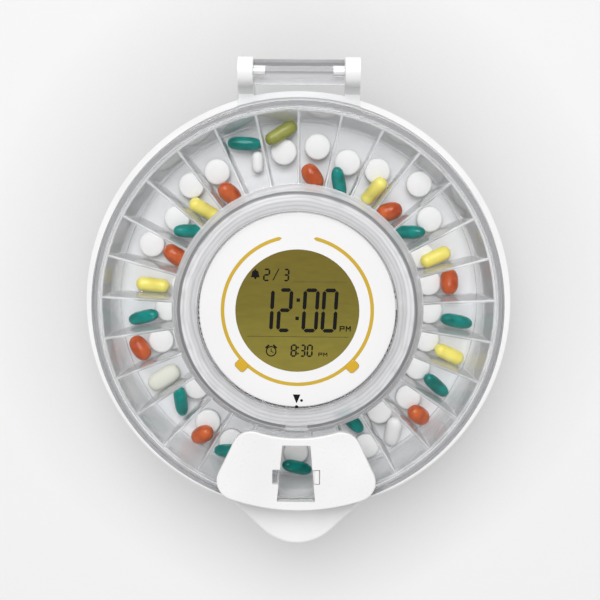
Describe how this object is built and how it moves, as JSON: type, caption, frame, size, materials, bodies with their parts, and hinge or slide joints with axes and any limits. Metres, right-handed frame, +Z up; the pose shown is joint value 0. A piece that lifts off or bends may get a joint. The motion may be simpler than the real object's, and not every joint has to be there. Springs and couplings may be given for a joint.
{
  "type": "automatic pill dispenser",
  "caption": "Round automatic pill dispenser: a motor-driven tray of compartments under a clear hinged lid with a dispensing window, round a white dial with a display and two buttons.",
  "frame": {"origin": "on the resting plane under the feet, on the tray's axis", "axes": "+Z up along the tray's axis; +Y to the lid's hinge at the back; -Y to the front tab; +X to the right seen from the front"},
  "size_m": [0.19, 0.2209, 0.0622],
  "materials": {
    "white_shell": "moulded ABS, satin gloss",
    "clear_lid": "clear polystyrene, polished",
    "clear_tray": "clear polystyrene, polished",
    "white_cover": "moulded ABS, satin gloss",
    "white_dial": "printed dial, smooth",
    "yellow_button": "moulded, glossy",
    "display": "olive liquid crystal display under a clear window",
    "display_holder": "moulded",
    "circuit_board": "solder mask",
    "black_part": "moulded",
    "inner_plastic": "moulded",
    "gear_plastic": "acetal",
    "steel": "plated",
    "zinc": "polished zinc",
    "brass": "turned",
    "cell_jacket": "plain printed jacket",
    "rubber": "moulded rubber"
  },
  "bodies": {
    "base": {"base_shell": "white_shell", "inner_deck": "inner_plastic", "hub_tower": "white_shell", "gear_bracket": "inner_plastic", "gear_axle": "steel", "motor": "steel", "index_switch": "black_part", "deck_screws": "steel", "hub_screws": "steel", "dial_screws": "steel", "hinge_pin": "steel", "lock_barrel": "zinc", "dial_face": "white_dial", "display_window": "display", "display_glass": "display", "glass_holder": "display_holder", "circuit_board": "circuit_board", "buzzer": "black_part", "battery_contacts": "steel", "tact_switch_left": "black_part", "tact_switch_right": "black_part", "rubber_foot_1": "rubber", "battery_cell_1": "cell_jacket", "rubber_foot_2": "rubber", "battery_cell_2": "cell_jacket", "rubber_foot_3": "rubber", "battery_cell_3": "cell_jacket", "rubber_foot_4": "rubber", "battery_cell_4": "cell_jacket"},
    "lid": {"lid_plate": "clear_lid", "lid_hinge": "clear_lid", "lid_skirt": "clear_lid", "lid_collar": "clear_lid", "dispensing_cover": "white_cover"},
    "tray": {"tray_floor": "clear_tray", "tray_inner_wall": "clear_tray", "tray_outer_wall": "clear_tray", "tray_dividers": "clear_tray", "ring_gear": "gear_plastic"},
    "compound_gear": {"compound_gear": "gear_plastic"},
    "motor_pinion": {"motor_pinion": "brass"},
    "button_left": {"button_left": "yellow_button"},
    "button_right": {"button_right": "yellow_button"},
    "lock": {"lock_plug": "zinc", "lock_cam": "zinc"},
    "battery_door": {"battery_door": "white_shell"}
  },
  "joints": [
    {"name": "lid_hinge", "type": "hinge", "parent": "base", "child": "lid", "pos_m": [0, 0.103, 0.051], "axis": [-1, 0, 0], "range_deg": [0, 105]},
    {"name": "tray_spin", "type": "hinge", "parent": "base", "child": "tray", "pos_m": [0, 0, 0.0285], "axis": [0, 0, 1], "continuous": true},
    {"name": "compound_gear_spin", "type": "hinge", "parent": "base", "child": "compound_gear", "pos_m": [0.0416, 0, 0.02], "axis": [0, 0, 1], "continuous": true},
    {"name": "motor_pinion_spin", "type": "hinge", "parent": "base", "child": "motor_pinion", "pos_m": [0.0491, 0.01299, 0.02], "axis": [0, 0, 1], "continuous": true},
    {"name": "button_left_press", "type": "slide", "parent": "base", "child": "button_left", "axis": [0, 0, -1], "range_m": [0, 0.0008], "stiffness_N_per_m": 2000, "springref_m": -0.0003},
    {"name": "button_right_press", "type": "slide", "parent": "base", "child": "button_right", "axis": [0, 0, -1], "range_m": [0, 0.0008], "stiffness_N_per_m": 2000, "springref_m": -0.0003},
    {"name": "lock_turn", "type": "hinge", "parent": "base", "child": "lock", "pos_m": [0, -0.1009, 0.04], "axis": [0, 0, 1], "range_deg": [0, 90]},
    {"name": "battery_door_slide", "type": "slide", "parent": "base", "child": "battery_door", "axis": [0, 1, 0], "range_m": [0, 0.005]}
  ],
  "couplings": [
    {"joint": "compound_gear_spin", "follows": "tray_spin", "ratio": 9.6667},
    {"joint": "motor_pinion_spin", "follows": "tray_spin", "ratio": -38.667}
  ]
}
